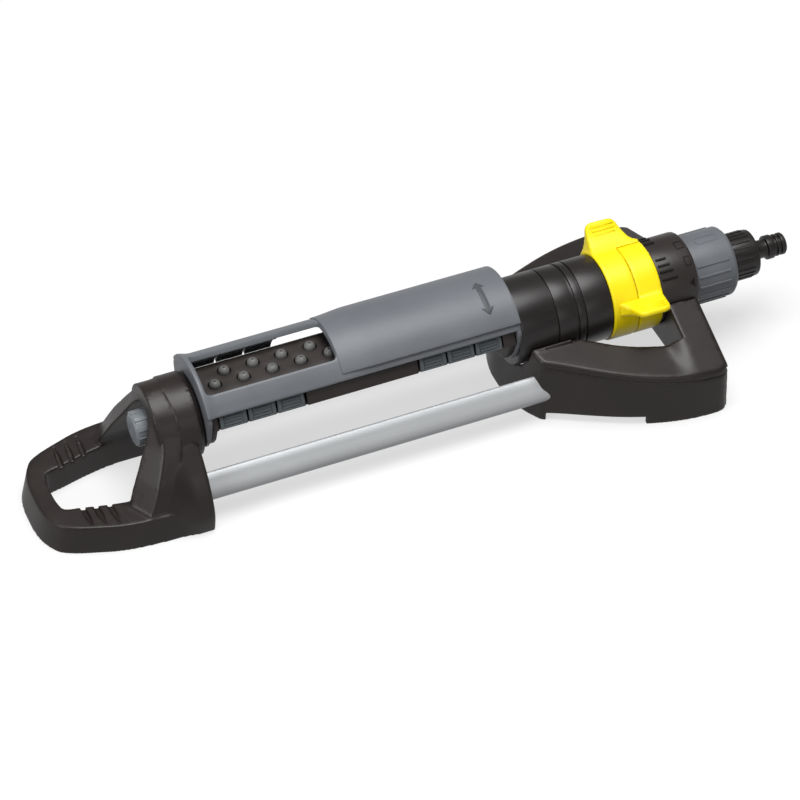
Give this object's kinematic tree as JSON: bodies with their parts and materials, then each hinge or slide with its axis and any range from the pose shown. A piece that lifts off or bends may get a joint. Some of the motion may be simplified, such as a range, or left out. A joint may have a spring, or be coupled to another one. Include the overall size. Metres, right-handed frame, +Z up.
{
  "type": "oscillating lawn sprinkler",
  "caption": "Oscillating lawn sprinkler: a hooded spray tube rocks between two dark feet joined by flat silver bars, with yellow range rings and a hose connector.",
  "frame": {"origin": "centre of the footprint of the whole part, on the ground", "axes": "+X along the spray tube towards the hose connector, +Y to the back, +Z up"},
  "size_m": [0.5836, 0.178, 0.1016],
  "materials": {
    "dark_plastic": "satin, moulded, dark brown-black",
    "grey_plastic": "satin, moulded, mid grey",
    "tab_plastic": "satin, moulded, dark grey",
    "yellow_plastic": "semi-gloss yellow",
    "white_plastic": "natural acetal",
    "spar_aluminium": "anodised silver",
    "steel": "bright",
    "seal_rubber": "matt black",
    "nozzle_rubber": "matt grey"
  },
  "bodies": {
    "root": {"left_foot": "dark_plastic", "right_foot": "dark_plastic", "front_spar": "spar_aluminium", "rear_spar": "spar_aluminium", "spar_screw_front_left": "steel", "spar_screw_rear_left": "steel", "spar_screw_front_right": "steel", "spar_screw_rear_right": "steel", "cradle_screw_1": "steel", "cradle_screw_2": "steel", "tube_bush": "white_plastic", "barrel_shell": "dark_plastic", "tube_seal": "seal_rubber", "arbor_lower": "steel", "arbor_side": "steel", "gear_plate": "white_plastic", "turbine_casing": "dark_plastic", "toggle_spring": "steel", "scale_ring": "dark_plastic", "inlet_body": "dark_plastic", "hose_connector": "dark_plastic", "connector_washer": "seal_rubber", "inlet_filter": "white_plastic"},
    "oscillator": {"spray_tube": "spar_aluminium", "nozzle_tray": "dark_plastic", "nozzle_strip_front": "nozzle_rubber", "nozzle_strip_rear": "nozzle_rubber", "hood": "grey_plastic", "trip_sleeve": "white_plastic", "output_gear": "white_plastic"},
    "plug": {"end_plug": "grey_plastic", "plug_seal": "seal_rubber"},
    "cover": {"splash_cover": "grey_plastic"},
    "gear_third": {"gear_third": "white_plastic"},
    "gear_second": {"gear_second": "white_plastic"},
    "gear_first": {"gear_first": "white_plastic"},
    "turbine": {"turbine_wheel": "white_plastic", "turbine_shaft": "steel", "drive_pinion": "white_plastic"},
    "trip_carrier": {"trip_carrier": "white_plastic"},
    "range_ring_back": {"range_ring_back": "yellow_plastic"},
    "range_ring_front": {"range_ring_front": "yellow_plastic"},
    "flow_knob": {"flow_knob": "grey_plastic", "valve_sleeve": "white_plastic"},
    "tab_front_left_1": {"tab_front_left_1": "tab_plastic"},
    "tab_front_left_2": {"tab_front_left_2": "tab_plastic"},
    "tab_front_left_3": {"tab_front_left_3": "tab_plastic"},
    "tab_front_right_1": {"tab_front_right_1": "tab_plastic"},
    "tab_front_right_2": {"tab_front_right_2": "tab_plastic"},
    "tab_front_right_3": {"tab_front_right_3": "tab_plastic"},
    "tab_rear_left_1": {"tab_rear_left_1": "tab_plastic"},
    "tab_rear_left_2": {"tab_rear_left_2": "tab_plastic"},
    "tab_rear_left_3": {"tab_rear_left_3": "tab_plastic"},
    "tab_rear_right_1": {"tab_rear_right_1": "tab_plastic"},
    "tab_rear_right_2": {"tab_rear_right_2": "tab_plastic"},
    "tab_rear_right_3": {"tab_rear_right_3": "tab_plastic"}
  },
  "joints": [
    {"name": "tube_swing", "type": "hinge", "parent": "root", "child": "oscillator", "pos_m": [0, 0, 0.058], "axis": [1, 0, 0], "range_deg": [-45, 45]},
    {"name": "third_gear_turn", "type": "hinge", "parent": "root", "child": "gear_third", "pos_m": [0, 0, 0.0437], "axis": [1, 0, 0], "range_deg": [-102, 102]},
    {"name": "second_gear_turn", "type": "hinge", "parent": "root", "child": "gear_second", "pos_m": [0, 0.01238, 0.05085], "axis": [1, 0, 0], "range_deg": [-229, 229]},
    {"name": "first_gear_turn", "type": "hinge", "parent": "root", "child": "gear_first", "pos_m": [0, 0, 0.0437], "axis": [1, 0, 0], "range_deg": [-514, 514]},
    {"name": "turbine_turn", "type": "hinge", "parent": "root", "child": "turbine", "pos_m": [0, 0, 0.058], "axis": [1, 0, 0], "range_deg": [-1155, 1155]},
    {"name": "trip_rock", "type": "hinge", "parent": "root", "child": "trip_carrier", "pos_m": [0, 0, 0.058], "axis": [1, 0, 0], "range_deg": [-6, 6]},
    {"name": "back_ring_set", "type": "hinge", "parent": "trip_carrier", "child": "range_ring_back", "pos_m": [0, 0, 0.058], "axis": [1, 0, 0], "range_deg": [-50, 0]},
    {"name": "front_ring_set", "type": "hinge", "parent": "trip_carrier", "child": "range_ring_front", "pos_m": [0, 0, 0.058], "axis": [1, 0, 0], "range_deg": [-40, 0]},
    {"name": "flow_knob_turn", "type": "hinge", "parent": "root", "child": "flow_knob", "pos_m": [0, 0, 0.058], "axis": [1, 0, 0], "range_deg": [0, 45]},
    {"name": "cover_turn", "type": "hinge", "parent": "oscillator", "child": "cover", "pos_m": [0, 0, 0.058], "axis": [1, 0, 0], "range_deg": [-84, 0]},
    {"name": "plug_draw", "type": "slide", "parent": "oscillator", "child": "plug", "axis": [-1, 0, 0], "range_m": [0, 0.045]},
    {"name": "tab_front_left_1_slide", "type": "hinge", "parent": "oscillator", "child": "tab_front_left_1", "pos_m": [0, 0, 0.058], "axis": [1, 0, 0], "range_deg": [0, 8]},
    {"name": "tab_front_left_2_slide", "type": "hinge", "parent": "oscillator", "child": "tab_front_left_2", "pos_m": [0, 0, 0.058], "axis": [1, 0, 0], "range_deg": [0, 8]},
    {"name": "tab_front_left_3_slide", "type": "hinge", "parent": "oscillator", "child": "tab_front_left_3", "pos_m": [0, 0, 0.058], "axis": [1, 0, 0], "range_deg": [0, 8]},
    {"name": "tab_front_right_1_slide", "type": "hinge", "parent": "oscillator", "child": "tab_front_right_1", "pos_m": [0, 0, 0.058], "axis": [1, 0, 0], "range_deg": [0, 8]},
    {"name": "tab_front_right_2_slide", "type": "hinge", "parent": "oscillator", "child": "tab_front_right_2", "pos_m": [0, 0, 0.058], "axis": [1, 0, 0], "range_deg": [0, 8]},
    {"name": "tab_front_right_3_slide", "type": "hinge", "parent": "oscillator", "child": "tab_front_right_3", "pos_m": [0, 0, 0.058], "axis": [1, 0, 0], "range_deg": [0, 8]},
    {"name": "tab_rear_left_1_slide", "type": "hinge", "parent": "oscillator", "child": "tab_rear_left_1", "pos_m": [0, 0, 0.058], "axis": [-1, 0, 0], "range_deg": [0, 8]},
    {"name": "tab_rear_left_2_slide", "type": "hinge", "parent": "oscillator", "child": "tab_rear_left_2", "pos_m": [0, 0, 0.058], "axis": [-1, 0, 0], "range_deg": [0, 8]},
    {"name": "tab_rear_left_3_slide", "type": "hinge", "parent": "oscillator", "child": "tab_rear_left_3", "pos_m": [0, 0, 0.058], "axis": [-1, 0, 0], "range_deg": [0, 8]},
    {"name": "tab_rear_right_1_slide", "type": "hinge", "parent": "oscillator", "child": "tab_rear_right_1", "pos_m": [0, 0, 0.058], "axis": [-1, 0, 0], "range_deg": [0, 8]},
    {"name": "tab_rear_right_2_slide", "type": "hinge", "parent": "oscillator", "child": "tab_rear_right_2", "pos_m": [0, 0, 0.058], "axis": [-1, 0, 0], "range_deg": [0, 8]},
    {"name": "tab_rear_right_3_slide", "type": "hinge", "parent": "oscillator", "child": "tab_rear_right_3", "pos_m": [0, 0, 0.058], "axis": [-1, 0, 0], "range_deg": [0, 8]}
  ],
  "couplings": [
    {"joint": "third_gear_turn", "follows": "tube_swing", "ratio": -2.25},
    {"joint": "second_gear_turn", "follows": "tube_swing", "ratio": 5.0625},
    {"joint": "first_gear_turn", "follows": "tube_swing", "ratio": -11.391},
    {"joint": "turbine_turn", "follows": "tube_swing", "ratio": 25.629}
  ]
}
